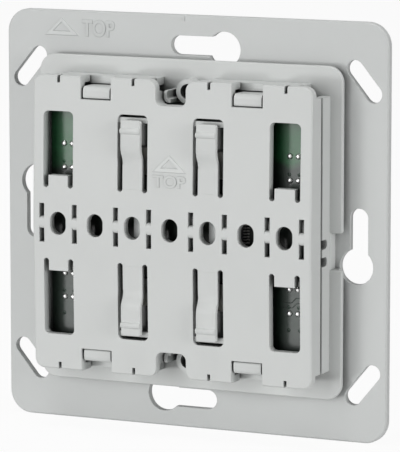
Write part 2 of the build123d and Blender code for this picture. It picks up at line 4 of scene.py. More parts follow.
import bmesh
import bpy
from bpy.props import FloatProperty, FloatVectorProperty, IntProperty, PointerProperty
from bpy.types import Operator, Panel, PropertyGroup
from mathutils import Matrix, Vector


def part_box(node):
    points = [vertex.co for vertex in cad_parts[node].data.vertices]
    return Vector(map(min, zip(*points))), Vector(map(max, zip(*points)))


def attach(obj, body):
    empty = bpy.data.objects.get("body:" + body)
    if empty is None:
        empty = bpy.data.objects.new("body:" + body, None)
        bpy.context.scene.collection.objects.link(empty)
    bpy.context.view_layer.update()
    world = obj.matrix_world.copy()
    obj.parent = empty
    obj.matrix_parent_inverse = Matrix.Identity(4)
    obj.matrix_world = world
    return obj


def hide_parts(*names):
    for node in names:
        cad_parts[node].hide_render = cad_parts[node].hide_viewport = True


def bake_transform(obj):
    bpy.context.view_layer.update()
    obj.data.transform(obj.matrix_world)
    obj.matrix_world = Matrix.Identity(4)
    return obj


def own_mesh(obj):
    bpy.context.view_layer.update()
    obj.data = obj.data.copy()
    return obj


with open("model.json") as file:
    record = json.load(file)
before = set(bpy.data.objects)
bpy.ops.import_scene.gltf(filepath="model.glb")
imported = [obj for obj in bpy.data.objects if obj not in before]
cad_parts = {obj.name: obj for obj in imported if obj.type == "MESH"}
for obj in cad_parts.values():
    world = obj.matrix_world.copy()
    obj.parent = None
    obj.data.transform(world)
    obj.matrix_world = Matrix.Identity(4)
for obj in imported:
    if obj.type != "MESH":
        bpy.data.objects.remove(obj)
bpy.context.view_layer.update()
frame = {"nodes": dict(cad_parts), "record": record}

bl_info = {
    "name": "Push-button insert",
    "version": (1, 0, 0),
    "blender": (4, 5, 0),
    "location": "View3D > Sidebar > Insert",
    "description": "Finishes, board detail, marks and stage for a double push-button wall insert",
    "category": "Object",
}

# Metres. +X to the right, +Z up, the room at -Y. The wall face of the plate lies in y = 0.
MM = 0.001
PLATE_LOW, PLATE_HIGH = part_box("support_plate")
COVER_LOW, COVER_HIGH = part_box("cover")
BOARD_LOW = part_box("circuit_board")[0]
PADS_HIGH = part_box("solder_pads")[1]
PLATE_FRONT = PLATE_LOW.y
COVER_RIDGE = COVER_LOW.y
BOARD_FRONT = BOARD_LOW.y
QUARTERS = ("upper_left", "upper_right", "lower_left", "lower_right")
# Copper lies under the board's lacquer above a line that rises to the right, and fades out over a stretch
COPPER_EDGE = 10.5 * MM
COPPER_LEAN = 0.1
COPPER_FADE = 6 * MM
# Points nearer to each other than this are one
MERGE_DISTANCE = 0.001 * MM
# Factors on the coordinates that draw fine lines out along one axis
ALONG_X = (0.08, 1.0, 1.0)
ALONG_Z = (1.0, 1.0, 0.08)
PLASTIC_IOR = 1.5
WHITE = (1, 1, 1, 1)
# Longer side of the picture in pixels, and of the camera's sensor in millimetres
IMAGE_HEIGHT = 452
SENSOR = 36.0


# Node trees

class Field:
    """An output of a node tree that takes part in Python arithmetic by adding Math nodes."""

    def __init__(self, graph, socket):
        self.graph = graph
        self.socket = socket

    def joined(self, operation, first, second):
        return self.graph.node("ShaderNodeMath", {"operation": operation}, {0: first, 1: second})

    def __add__(self, other):
        return self.joined("ADD", self, other)

    def __radd__(self, other):
        return self.joined("ADD", other, self)

    def __sub__(self, other):
        return self.joined("SUBTRACT", self, other)

    def __rsub__(self, other):
        return self.joined("SUBTRACT", other, self)

    def __mul__(self, other):
        return self.joined("MULTIPLY", self, other)

    def __rmul__(self, other):
        return self.joined("MULTIPLY", other, self)


class Graph:
    """A node tree that one method fills."""

    def __init__(self, tree):
        self.tree = tree

    def feed(self, socket, value):
        """Gives a socket its value, or its link where the value is a field."""
        if isinstance(value, Field):
            self.tree.links.new(value.socket, socket)
        else:
            socket.default_value = value

    def node(self, kind, settings=None, sockets=None, output=0):
        """Adds a node with its settings first, then its sockets, and gives one of its outputs."""
        made = self.tree.nodes.new(kind)
        for name, value in (settings or {}).items():
            if name == "stops":
                for element, (position, shade) in zip(made.color_ramp.elements, value):
                    element.position = position
                    element.color = (shade, shade, shade, 1)
            else:
                setattr(made, name, value)
        for key, value in (sockets or {}).items():
            self.feed(made.inputs[key], value)
        return Field(self, made.outputs[output]) if made.outputs else made


class Finish(Graph):
    """A procedural material on a Principled shader, with textures in object coordinates."""

    # Rays that feel for the walls of a gap, and for the faces beside an edge
    gap_samples = 8
    edge_samples = 6

    def __init__(self, name, constants):
        self.material = bpy.data.materials.new(name)
        self.material.use_nodes = True
        super().__init__(self.material.node_tree)
        self.surface = self.tree.nodes["Principled BSDF"]
        self.place = self.node("ShaderNodeTexCoord", output="Object")
        for key, value in constants.items():
            self.surface.inputs[key].default_value = value

    def shade(self, **fields):
        """Links fields to the shader's sockets, as base_color to Base Color."""
        for key, value in fields.items():
            self.feed(self.surface.inputs[key.replace("_", " ").title()], value)

    def noise(self, size, detail=2.0, place=None):
        """Noise with grains of about one size, in metres."""
        sockets = {"Vector": place or self.place, "Scale": 1 / size, "Detail": detail}
        return self.node("ShaderNodeTexNoise", {"noise_dimensions": "3D"}, sockets)

    def stretched(self, factors):
        """Object coordinates times a factor along each axis: a small one draws a pattern out."""
        return self.node("ShaderNodeMapping", {}, {"Vector": self.place, "Scale": factors})

    def along(self, axis, vector=None):
        """One coordinate of a vector, or of the place on the object where none is given."""
        return self.node("ShaderNodeSeparateXYZ", {}, {0: vector or self.place}, axis)

    def openness(self, reach):
        """One in the open and less in a gap, going by what lies within a reach."""
        settings = {"samples": self.gap_samples}
        return self.node("ShaderNodeAmbientOcclusion", settings, {"Distance": reach}, "AO")

    def rising(self, factor, start, end):
        """Nought up to one value of the factor, and one from another on."""
        return self.node("ShaderNodeValToRGB", {"stops": ((start, 0.0), (end, 1.0))}, {0: factor})

    def falling(self, factor, start, end):
        """One up to one value of the factor, and nought from another on."""
        return self.node("ShaderNodeValToRGB", {"stops": ((start, 1.0), (end, 0.0))}, {0: factor})

    def mix(self, factor, first, second):
        """Colour between two others."""
        return self.node("ShaderNodeMix", {"data_type": "RGBA"}, {0: factor, 6: first, 7: second}, 2)

    def tones(self, factor, colour, darkest, lightest):
        """A colour that varies between two tones of itself."""
        return self.mix(factor, tinted(colour, darkest), tinted(colour, lightest))

    def relief(self, height, depth, strength, edge=None):
        """Bumped normal, over edges rounded by a small radius where one is given."""
        sockets = {"Height": height, "Distance": depth, "Strength": strength}
        if edge:
            settings = {"samples": self.edge_samples}
            sockets["Normal"] = self.node("ShaderNodeBevel", settings, {"Radius": edge})
        return self.node("ShaderNodeBump", {}, sockets)


def tinted(colour, factor):
    """A colour made darker or lighter, with full alpha."""
    return (*[min(1.0, channel * factor) for channel in colour[:3]], 1.0)


def between(field, low, high):
    """A value that runs from low to high with a field."""
    return low + field * (high - low)


def blended(first, second, share):
    """Two fields added up, the second with the given share."""
    return first * (1 - share) + second * share


# Finishes

def moulded_finish(name, colour, moulding):
    """Matt moulded plastic with fine spark-eroded grain and faint flow marks, with painted shade in deep
    gaps.
    """
    finish = Finish(name, {"IOR": PLASTIC_IOR, "Specular IOR Level": moulding.gloss})
    flow = finish.noise(moulding.flow_size, detail=3.0)
    grain = finish.noise(moulding.grain_size, detail=3.0)
    cloud = finish.tones(blended(flow, grain, share=0.3), colour, darkest=0.965, lightest=1.035)
    # Painted shade: dark in narrow gaps, but only on faces that lie deeper than the cover's front
    painted_gap_shade = finish.falling(finish.openness(moulding.painted_shade_reach), start=0.12, end=0.5)
    depth = (finish.along("Y") - COVER_RIDGE) * (1 / moulding.painted_shade_reach)
    painted_shade_depth = finish.rising(depth, start=0.04, end=0.25)
    finish.shade(
        base_color=finish.mix(painted_shade_depth * painted_gap_shade, cloud, tinted(colour, moulding.painted_shade_tone)),
        roughness=grained_roughness(grain, moulding),
        normal=finish.relief(grain, moulding.grain_depth, strength=0.6, edge=moulding.edge_radius),
    )
    return finish.material


def mark_finish(name, colour, painted_side_shade, moulding):
    """Moulded plastic of a raised mark, with painted shade on its slanted sides against its flat front."""
    finish = Finish(name, {"IOR": PLASTIC_IOR, "Specular IOR Level": moulding.gloss})
    grain = finish.noise(moulding.grain_size, detail=3.0)
    # Painted shade on the slanted sides, by how far each face turns away from the front
    normal = finish.node("ShaderNodeNewGeometry", output="True Normal")
    facing = finish.along("Y", normal) * -1.0
    flat = finish.rising(facing, start=0.8, end=0.95)
    front = finish.tones(grain, colour, darkest=0.98, lightest=1.02)
    finish.shade(
        base_color=finish.mix(flat, tinted(colour, painted_side_shade), front),
        roughness=grained_roughness(grain, moulding),
    )
    return finish.material


def grained_roughness(grain, moulding):
    """Roughness of a moulding, which its grain moves a little to either side."""
    low = moulding.roughness - moulding.roughness_spread
    high = moulding.roughness + moulding.roughness_spread
    return between(grain, low, high)


def solder_mask_finish(name, colour, bare_colour):
    """Satin green lacquer over a woven glass board, brighter where copper lies under it, with painted
    shade where other parts close over it.
    """
    thread = 0.45 * MM
    thread_stretch = 0.25
    ragged_size = 6 * MM
    board_shade_reach = 12 * MM
    board_shade_tone = 0.15
    weave_tones = {"darkest": 0.72, "lightest": 1.3}
    finish = Finish(name, {"IOR": 1.52, "Specular IOR Level": 0.5})
    warp = finish.noise(thread, detail=1.0, place=finish.stretched((thread_stretch, 1.0, 1.0)))
    weft = finish.noise(thread, detail=1.0, place=finish.stretched((1.0, 1.0, thread_stretch)))
    weave = blended(warp, weft, share=0.5)
    edge = finish.along("Z") - finish.along("X") * COPPER_LEAN - COPPER_EDGE
    ragged_edge = edge * (1 / COPPER_FADE) + finish.noise(ragged_size, detail=1.0)
    pour = finish.rising(ragged_edge, start=0.4, end=0.6)
    glass = finish.tones(weave, bare_colour, **weave_tones)
    copper = finish.tones(weave, colour, **weave_tones)
    # Painted shade: nearly black where the cover and other parts close over the board
    painted_board_shade = finish.falling(finish.openness(board_shade_reach), start=0.2, end=0.5)
    lacquer = finish.mix(pour, glass, copper)
    finish.shade(
        base_color=finish.mix(painted_board_shade, lacquer, tinted(bare_colour, board_shade_tone)),
        roughness=between(weave, low=0.3, high=0.4),
        normal=finish.relief(weave, depth=0.01 * MM, strength=0.4),
    )
    return finish.material


def solder_finish(name, colour, roughness):
    """Tin with flux stains and a rippled skin."""
    ripple_spread = 0.2
    finish = Finish(name, {"Metallic": 1.0})
    ripple = finish.noise(size=0.22 * MM)
    stain = finish.rising(finish.noise(size=0.6 * MM), start=0.35, end=0.65)
    finish.shade(
        base_color=finish.tones(stain, colour, darkest=0.82, lightest=1.08),
        roughness=between(ripple, low=roughness, high=roughness + ripple_spread),
        normal=finish.relief(ripple, depth=0.02 * MM, strength=0.5),
    )
    return finish.material


def brushed_finish(name, colour, grain_along):
    """Rolled or drawn steel with fine lines along one axis."""
    finish = Finish(name, {"Metallic": 1.0})
    lines = finish.noise(size=0.12 * MM, place=finish.stretched(grain_along))
    haze = finish.noise(size=2.2 * MM)
    finish.shade(
        base_color=finish.tones(blended(lines, haze, share=0.4), colour, darkest=0.84, lightest=1.1),
        roughness=between(lines, low=0.22, high=0.42),
        normal=finish.relief(lines, depth=0.01 * MM, strength=0.4),
    )
    return finish.material


def dark_plastic_finish(name, colour, roughness):
    """Dark moulding compound with a gritty skin."""
    grit_spread = 0.08
    finish = Finish(name, {"IOR": PLASTIC_IOR})
    grit = finish.noise(size=0.09 * MM)
    haze = finish.noise(size=1.5 * MM)
    finish.shade(
        base_color=finish.tones(blended(grit, haze, share=0.5), colour, darkest=0.6, lightest=1.6),
        roughness=between(grit, low=roughness - grit_spread, high=roughness + grit_spread),
        normal=finish.relief(grit, depth=0.01 * MM, strength=0.5),
    )
    return finish.material


def guide_finish(name, colour):
    """Milky clear plastic of the light guides."""
    milky = {"Subsurface Weight": 0.7, "Subsurface Radius": (1.0, 1.0, 1.0), "Subsurface Scale": 2 * MM}
    finish = Finish(name, {"IOR": 1.49, "Specular IOR Level": 0.3, **milky})
    cloud = finish.noise(size=0.8 * MM)
    finish.shade(
        base_color=finish.tones(cloud, colour, darkest=0.9, lightest=1.08),
        roughness=between(cloud, low=0.42, high=0.54),
        normal=finish.relief(cloud, depth=0.02 * MM, strength=0.2),
    )
    return finish.material


def lamp_finish(name, colour):
    """White lamp body with grains of phosphor."""
    phosphor = (0.86, 0.72, 0.28, 1)
    finish = Finish(name, {"IOR": PLASTIC_IOR})
    grains = finish.rising(finish.noise(size=0.15 * MM, detail=1.0), start=0.45, end=0.55)
    finish.shade(
        base_color=finish.mix(grains, tinted(colour, 1.0), phosphor),
        roughness=between(grains, low=0.3, high=0.5),
    )
    return finish.material


def material_named(name):
    """A finish made by an earlier operator."""
    if name not in bpy.data.materials:
        raise RuntimeError(f"the finish {name} isn't made yet")
    return bpy.data.materials[name]


# Meshes and objects

def mesh_of(name, build):
    """A mesh filled by a function that works on an empty edit mesh."""
    form = bmesh.new()
    build(form)
    bmesh.ops.recalc_face_normals(form, faces=form.faces)
    mesh = bpy.data.meshes.new(name)
    form.to_mesh(mesh)
    form.free()
    return mesh


def take_in(form, mesh):
    """Copies a mesh into an edit mesh and joins its loose faces."""
    form.from_mesh(mesh)
    bmesh.ops.remove_doubles(form, verts=form.verts, dist=MERGE_DISTANCE)


def lines_mesh(name, runs):
    """A mesh of open runs of edges, where a run of one point is a loose point."""
    points = []
    edges = []
    for run in runs:
        first = len(points)
        points += [tuple(point) for point in run]
        edges += [(first + step, first + step + 1) for step in range(len(run) - 1)]
    mesh = bpy.data.meshes.new(name)
    mesh.from_pydata(points, edges, [])
    return mesh


def points_mesh(name, points):
    """A mesh of loose points."""
    return lines_mesh(name, [[point] for point in points])


def placed(name, data):
    """A new object at the origin of the scene."""
    made = bpy.data.objects.new(name, data)
    bpy.context.scene.collection.objects.link(made)
    return made


def dress(mesh, material):
    """Gives a mesh one finish and takes any other away."""
    mesh.materials.clear()
    mesh.materials.append(material)


def piece_of(name, mesh, material):
    """A piece at the origin with one finish."""
    dress(mesh, material)
    piece = placed(name, mesh)
    return piece


def finish_nodes(slots):
    """Gives every CAD node of the named slots its finish."""
    for part in frame["record"]["subparts"]:
        if part["material_slot"] in slots:
            dress(frame["nodes"][part["node"]].data, slots[part["material_slot"]])


# Geometry node trees

class Growth(Graph):
    """A geometry node tree with named inputs, which ends in realized instances and a material."""

    def __init__(self, name, inputs):
        super().__init__(bpy.data.node_groups.new(name, "GeometryNodeTree"))
        sockets = self.tree.interface
        sockets.new_socket("Geometry", in_out="INPUT", socket_type="NodeSocketGeometry")
        self.identifiers = {}
        for label, kind in inputs.items():
            made = sockets.new_socket(label, in_out="INPUT", socket_type=f"NodeSocket{kind}")
            self.identifiers[label] = made.identifier
        sockets.new_socket("Geometry", in_out="OUTPUT", socket_type="NodeSocketGeometry")
        self.given = {label: self.node("NodeGroupInput", output=label) for label in ("Geometry", *inputs)}

    def end(self, geometry):
        """Realizes, gives the material and leaves the tree."""
        real = self.node("GeometryNodeRealizeInstances", {}, {"Geometry": geometry})
        sockets = {"Geometry": real, "Material": self.given["Material"]}
        dressed = self.node("GeometryNodeSetMaterial", {}, sockets)
        self.node("NodeGroupOutput", {}, {0: dressed})
        return self

    def grown(self, name, base, material, sizes):
        """A plain mesh that the tree makes from a base, with its inputs set by identifier."""
        carrier = placed(name + "_base", base)
        modifier = carrier.modifiers.new("growth", "NODES")
        modifier.node_group = self.tree
        for label, value in {**sizes, "Material": material}.items():
            modifier[self.identifiers[label]] = value
        graph = bpy.context.evaluated_depsgraph_get()
        mesh = bpy.data.meshes.new_from_object(carrier.evaluated_get(graph), depsgraph=graph)
        mesh.name = name
        carrier.modifiers.remove(modifier)
        bpy.data.objects.remove(carrier)
        return mesh


def dome_tree():
    """Closed low domes that stand towards the room on given points."""
    inputs = {"Diameter": "Float", "Height": "Float", "Rings": "Int", "Material": "Material"}
    tree = Growth("board domes", inputs)
    sizes = {"Segments": 24, "Rings": tree.given["Rings"], "Radius": 1.0}
    ball = tree.node("GeometryNodeMeshUVSphere", {}, sizes)
    position = tree.node("GeometryNodeInputPosition")
    x, y, z = [tree.node("ShaderNodeSeparateXYZ", {}, {0: position}, axis) for axis in "XYZ"]
    radius = tree.given["Diameter"] * 0.5
    rise = tree.node("ShaderNodeMath", {"operation": "MAXIMUM"}, {0: z, 1: 0.0})
    turned = {0: x * radius, 1: (0.0 - rise) * tree.given["Height"], 2: y * radius}
    place = tree.node("ShaderNodeCombineXYZ", {}, turned)
    dome = tree.node("GeometryNodeSetPosition", {}, {"Geometry": ball, "Position": place})
    dome = tree.node("GeometryNodeSetShadeSmooth", {}, {"Geometry": dome, "Shade Smooth": True})
    points = {"Points": tree.given["Geometry"], "Instance": dome}
    return tree.end(tree.node("GeometryNodeInstanceOnPoints", {}, points))


def track_tree():
    """Flat strips along given lines, which stand a little proud of the board."""
    tree = Growth("board tracks", {"Width": "Float", "Rise": "Float", "Material": "Material"})
    lines = tree.node("GeometryNodeMeshToCurve", {}, {"Mesh": tree.given["Geometry"]})
    upright = tree.node("GeometryNodeSetCurveNormal", {}, {"Curve": lines})
    sizes = {"Width": tree.given["Width"], "Height": tree.given["Rise"]}
    section = tree.node("GeometryNodeCurvePrimitiveQuadrilateral", {"mode": "RECTANGLE"}, sizes)
    strips = {"Curve": upright, "Profile Curve": section, "Fill Caps": True}
    return tree.end(tree.node("GeometryNodeCurveToMesh", {}, strips))


# Settings

class MouldingSettings(PropertyGroup):
    """Finish of the plate, the housing and the cover."""

    housing_colour: FloatVectorProperty(
        name="Housing colour",
        description="Grey of the housing, cover and tongues",
        default=(0.62, 0.635, 0.625),
        min=0,
        max=1,
        subtype="COLOR",
    )
    plate_colour: FloatVectorProperty(
        name="Plate colour",
        description="Grey of the support plate",
        default=(0.58, 0.595, 0.588),
        min=0,
        max=1,
        subtype="COLOR",
    )
    gloss: FloatProperty(
        name="Gloss",
        description="Strength of the surface reflection",
        default=0.35,
        min=0,
        max=1,
        subtype="FACTOR",
    )
    roughness: FloatProperty(
        name="Roughness",
        description="Roughness of the matt moulding",
        default=0.52,
        min=0,
        max=1,
        subtype="FACTOR",
    )
    roughness_spread: FloatProperty(
        name="Roughness spread",
        description="How far the grain moves the roughness to either side",
        default=0.06,
        min=0,
        max=0.2,
        subtype="FACTOR",
    )
    grain_size: FloatProperty(
        name="Grain size",
        description="Size of the fine eroded grain",
        default=0.22 * MM,
        min=0.01 * MM,
        precision=5,
        unit="LENGTH",
    )
    grain_depth: FloatProperty(
        name="Grain depth",
        description="Depth of the fine eroded grain",
        default=0.012 * MM,
        min=0,
        precision=6,
        unit="LENGTH",
    )
    flow_size: FloatProperty(
        name="Flow mark size",
        description="Size of the faint clouds that the melt leaves",
        default=9 * MM,
        min=1 * MM,
        precision=4,
        unit="LENGTH",
    )
    # Reach of the painted gap shade, and the depth behind the cover's front over which it sets in
    painted_shade_reach: FloatProperty(
        name="Painted shade reach",
        description="Width up to which a gap counts as deep",
        default=6 * MM,
        min=0.1 * MM,
        precision=4,
        unit="LENGTH",
    )
    # Painted shade: share of the colour that is left in a deep gap
    painted_shade_tone: FloatProperty(
        name="Painted shade tone",
        description="Share of the colour that is left in a deep gap",
        default=0.06,
        min=0,
        max=1,
        subtype="FACTOR",
    )
    edge_radius: FloatProperty(
        name="Edge radius",
        description="Radius at which moulded edges catch the light",
        default=0.12 * MM,
        min=0,
        precision=5,
        unit="LENGTH",
    )


class BoardSettings(PropertyGroup):
    """Detail of the circuit board."""

    mask_colour: FloatVectorProperty(
        name="Mask colour",
        description="Green of the solder mask",
        default=(0.008, 0.11, 0.032),
        min=0,
        max=1,
        subtype="COLOR",
    )
    bare_colour: FloatVectorProperty(
        name="Bare colour",
        description="Dark green of the board where no copper lies under the mask",
        default=(0.01, 0.026, 0.016),
        min=0,
        max=1,
        subtype="COLOR",
    )
    solder_height: FloatProperty(
        name="Solder height",
        description="Height of a solder dome over the board",
        default=0.42 * MM,
        min=0,
        precision=5,
        unit="LENGTH",
    )
    via_diameter: FloatProperty(
        name="Via diameter",
        description="Diameter of a via's ring",
        default=0.62 * MM,
        min=0.1 * MM,
        precision=5,
        unit="LENGTH",
    )
    track_width: FloatProperty(
        name="Track width",
        description="Width of the tracks under the mask",
        default=0.3 * MM,
        min=0.1 * MM,
        precision=5,
        unit="LENGTH",
    )
    dome_rings: IntProperty(
        name="Dome rings",
        description="Rings of faces on a solder dome",
        default=12,
        min=4,
        max=32,
    )


class MarkSettings(PropertyGroup):
    """Moulded marks that show which side is up."""

    relief: FloatProperty(
        name="Relief",
        description="Height of the marks over the surface",
        default=0.16 * MM,
        min=0,
        precision=5,
        unit="LENGTH",
    )
    band: FloatProperty(
        name="Band",
        description="Width of a triangle's outline",
        default=0.88 * MM,
        min=0.1 * MM,
        precision=5,
        unit="LENGTH",
    )
    # Painted highlight: the triangles are lighter than the face round them
    triangle_painted_highlight: FloatProperty(
        name="Triangle painted highlight",
        description="Tone of the triangles against the face round them",
        default=1.07,
        min=0.5,
        max=1.5,
        subtype="FACTOR",
    )
    # Painted shade: the words are darker than the face round them
    word_painted_shade: FloatProperty(
        name="Word painted shade",
        description="Tone of the words against the face round them",
        default=0.96,
        min=0.5,
        max=1.5,
        subtype="FACTOR",
    )
    # Painted shade on the marks' slanted sides
    painted_side_shade: FloatProperty(
        name="Painted side shade",
        description="Tone of the marks' slanted sides against their fronts",
        default=0.84,
        min=0.5,
        max=1.5,
        subtype="FACTOR",
    )
    slope: FloatProperty(
        name="Slope",
        description="Width of the slanted sides of the triangles",
        default=0.16 * MM,
        min=0.01 * MM,
        precision=5,
        unit="LENGTH",
    )


class StageSettings(PropertyGroup):
    """Viewing angle and light."""

    azimuth: FloatProperty(
        name="Azimuth",
        description="Turn of the camera to the right of the front",
        default=math.radians(24.8),
        unit="ROTATION",
    )
    elevation: FloatProperty(
        name="Elevation",
        description="Height of the camera over the middle",
        default=math.radians(8.33),
        unit="ROTATION",
    )
    distance: FloatProperty(
        name="Distance",
        description="Distance from the camera to the middle of the object",
        default=0.627,
        min=0.1,
        unit="LENGTH",
    )
    focal_pixels: FloatProperty(
        name="Focal length",
        description="Focal length in pixels of the picture",
        default=3674.7,
        min=100,
        subtype="PIXEL",
    )
    key_level: FloatProperty(
        name="Key",
        description="Light of the low lamp on the left, as a share of full light on a face turned to it",
        default=0.15,
        min=0,
        subtype="FACTOR",
    )
    front_level: FloatProperty(
        name="Front",
        description="Light of the large lamp in front, as a share of full light on a face turned to it",
        default=0.48,
        min=0,
        subtype="FACTOR",
    )
    side_level: FloatProperty(
        name="Side",
        description="Light of the lamp on the right, as a share of full light on a face turned to it",
        default=0.4,
        min=0,
        subtype="FACTOR",
    )
    top_level: FloatProperty(
        name="Top",
        description="Light of the lamp overhead, as a share of full light on a face turned to it",
        default=0.42,
        min=0,
        subtype="FACTOR",
    )
    ambient: FloatProperty(
        name="Ambient",
        description="Strength of the light from all round",
        default=0.06,
        min=0,
        subtype="FACTOR",
    )


# Operators

class INSERT_OT_finish_mouldings(Operator):
    """Finish the plate, the housing and the cover as matt moulded plastic"""

    bl_idname = "insert.finish_mouldings"
    bl_label = "Finish mouldings"

    def execute(self, context):
        moulding = context.scene.insert_moulding
        finish_nodes(
            {
                "plate_grey": moulded_finish("plate grey", moulding.plate_colour, moulding),
                "housing_grey": moulded_finish("housing grey", moulding.housing_colour, moulding),
            }
        )
        return {"FINISHED"}


class INSERT_OT_finish_electrics(Operator):
    """Finish the board, the switches, the chip, the cell and the light guides"""

    bl_idname = "insert.finish_electrics"
    bl_label = "Finish electrics"

    def execute(self, context):
        board = context.scene.insert_board
        compound = dark_plastic_finish("moulding compound", (0.022, 0.022, 0.024), roughness=0.5)
        finish_nodes(
            {
                "board_green": solder_mask_finish("solder mask", board.mask_colour, board.bare_colour),
                "tin": solder_finish("dull tin", (0.3, 0.3, 0.29), roughness=0.45),
                "black_plastic": compound,
                "plunger_black": dark_plastic_finish("plunger black", (0.04, 0.04, 0.043), roughness=0.36),
                "bright_steel": brushed_finish("bright steel", (0.72, 0.72, 0.71), ALONG_X),
                "contact_steel": brushed_finish("contact steel", (0.66, 0.65, 0.62), ALONG_Z),
                "clear_plastic": guide_finish("milky clear", (0.72, 0.75, 0.74)),
                "led_white": lamp_finish("lamp white", (0.85, 0.85, 0.8)),
            }
        )
        return {"FINISHED"}


class INSERT_OT_make_tongues(Operator):
    """Make the four springy tongues in one with the cover, with cuts across them near their roots"""

    bl_idname = "insert.make_tongues"
    bl_label = "Make tongues"

    edge_radius = 0.12 * MM
    edge_segments = 2
    # Faces that meet at less than the first angle become one, and edges over the second are rounded
    flat_angle = math.radians(1)
    sharp_angle = math.radians(40)
    # How far a root is drawn out into the cover, and within what distance of its end a point belongs to it
    root_lap = 0.1 * MM
    root_tolerance = 0.025 * MM
    bend_length = 3.6 * MM
    bend_steps = 12

    def execute(self, context):
        for quarter in QUARTERS:
            self.make_tongue(quarter)
        return {"FINISHED"}

    def make_tongue(self, quarter):
        """A tongue whose root runs into the cover, cut across into short lengths near its root."""
        node = f"spring_tongue_{quarter}"
        low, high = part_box(node)
        up = 1 if low.z > 0 else -1
        root = low.z if up > 0 else high.z

        def at_root(vertex):
            return abs(vertex.co.z - root) < self.root_tolerance

        def build(form):
            take_in(form, frame["nodes"][node].data)
            self.round_edges(form, at_root)
            for vertex in filter(at_root, form.verts):
                vertex.co.z -= up * self.root_lap
            for step in range(1, self.bend_steps):
                cut = root + up * self.bend_length * step / self.bend_steps
                geometry = form.verts[:] + form.edges[:] + form.faces[:]
                bmesh.ops.bisect_plane(form, geom=geometry, plane_co=(0, 0, cut), plane_no=(0, 0, 1))

        mesh = mesh_of(node + "_form", build)
        tongue = piece_of(f"flexing_tongue_{quarter}", mesh, material_named("housing grey"))
        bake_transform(tongue)
        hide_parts(node)

    def round_edges(self, form, at_root):
        """Rounds the sharp edges of a tongue, apart from those at its root."""
        bmesh.ops.dissolve_limit(form, angle_limit=self.flat_angle, verts=form.verts, edges=form.edges)
        sharp = [e for e in form.edges if e.is_manifold and e.calc_face_angle() > self.sharp_angle]
        sharp = [e for e in sharp if not any(at_root(v) for v in e.verts)]
        bmesh.ops.bevel(
            form,
            geom=sharp,
            offset=self.edge_radius,
            segments=self.edge_segments,
            affect="EDGES",
            profile=0.5,
        )


class INSERT_OT_make_domes(Operator):
    """Make the four contact domes as pieces of the module"""

    bl_idname = "insert.make_domes"
    bl_label = "Make domes"

    # Share of its height that a dome keeps at full press
    pressed_share = 0.63

    def execute(self, context):
        for quarter in QUARTERS:
            self.make_dome(quarter)
        return {"FINISHED"}

    def make_dome(self, quarter):
        """A dome copied from its CAD node and put on the module."""
        node = f"switch_dome_{quarter}"
        low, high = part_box(node)
        rim = (low + high) / 2
        rim.y = high.y

        def build(form):
            take_in(form, frame["nodes"][node].data)

        mesh = mesh_of(node + "_form", build)
        dome = piece_of(f"flexing_dome_{quarter}", mesh, material_named("contact steel"))
        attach(dome, "module")
        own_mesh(dome)
        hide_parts(node)


